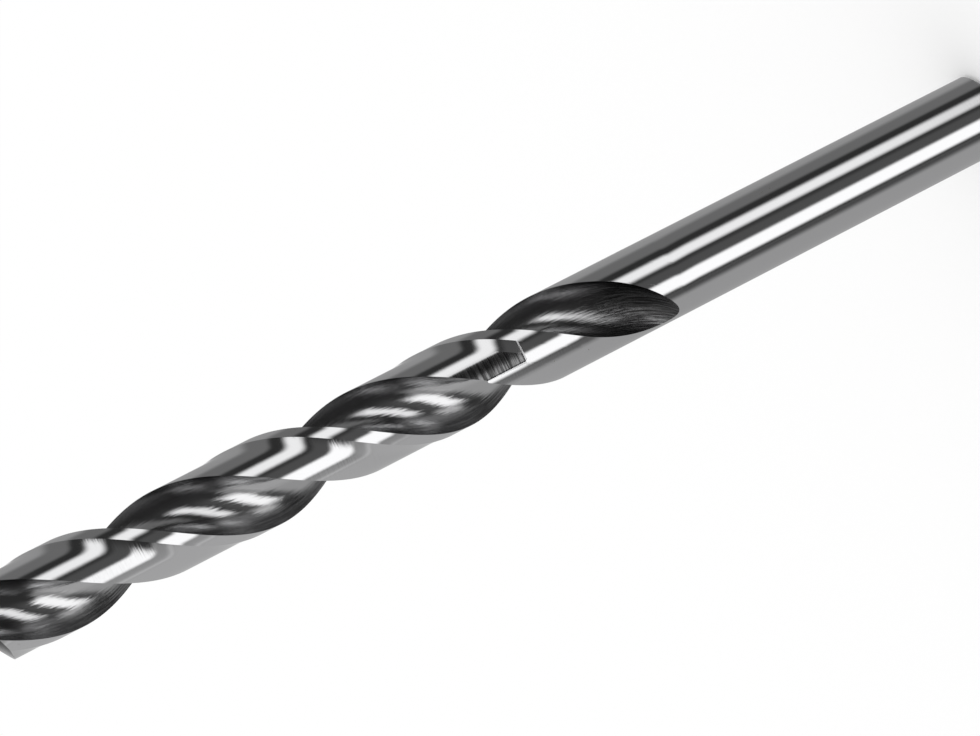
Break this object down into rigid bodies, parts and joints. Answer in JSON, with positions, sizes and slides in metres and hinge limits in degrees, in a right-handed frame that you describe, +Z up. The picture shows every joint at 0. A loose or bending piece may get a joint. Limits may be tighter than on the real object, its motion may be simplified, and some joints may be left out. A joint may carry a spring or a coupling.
{
  "type": "twist drill bit",
  "caption": "Slender two-flute twist drill with a conical point, narrow margins and a plain parallel shank.",
  "frame": {"origin": "centre of the flat end of the shank, which the drill stands on", "axes": "+Z up the drill's axis from the shank end to the point, +X along one cutting lip as seen from the point"},
  "size_m": [0.0094, 0.0094, 0.125],
  "materials": {
    "ground_steel": "bright ground high-speed steel, silky in the flutes and nearly mirror-like on the shank"
  },
  "bodies": {
    "root": {"drill_bit": "ground_steel"}
  },
  "joints": []
}
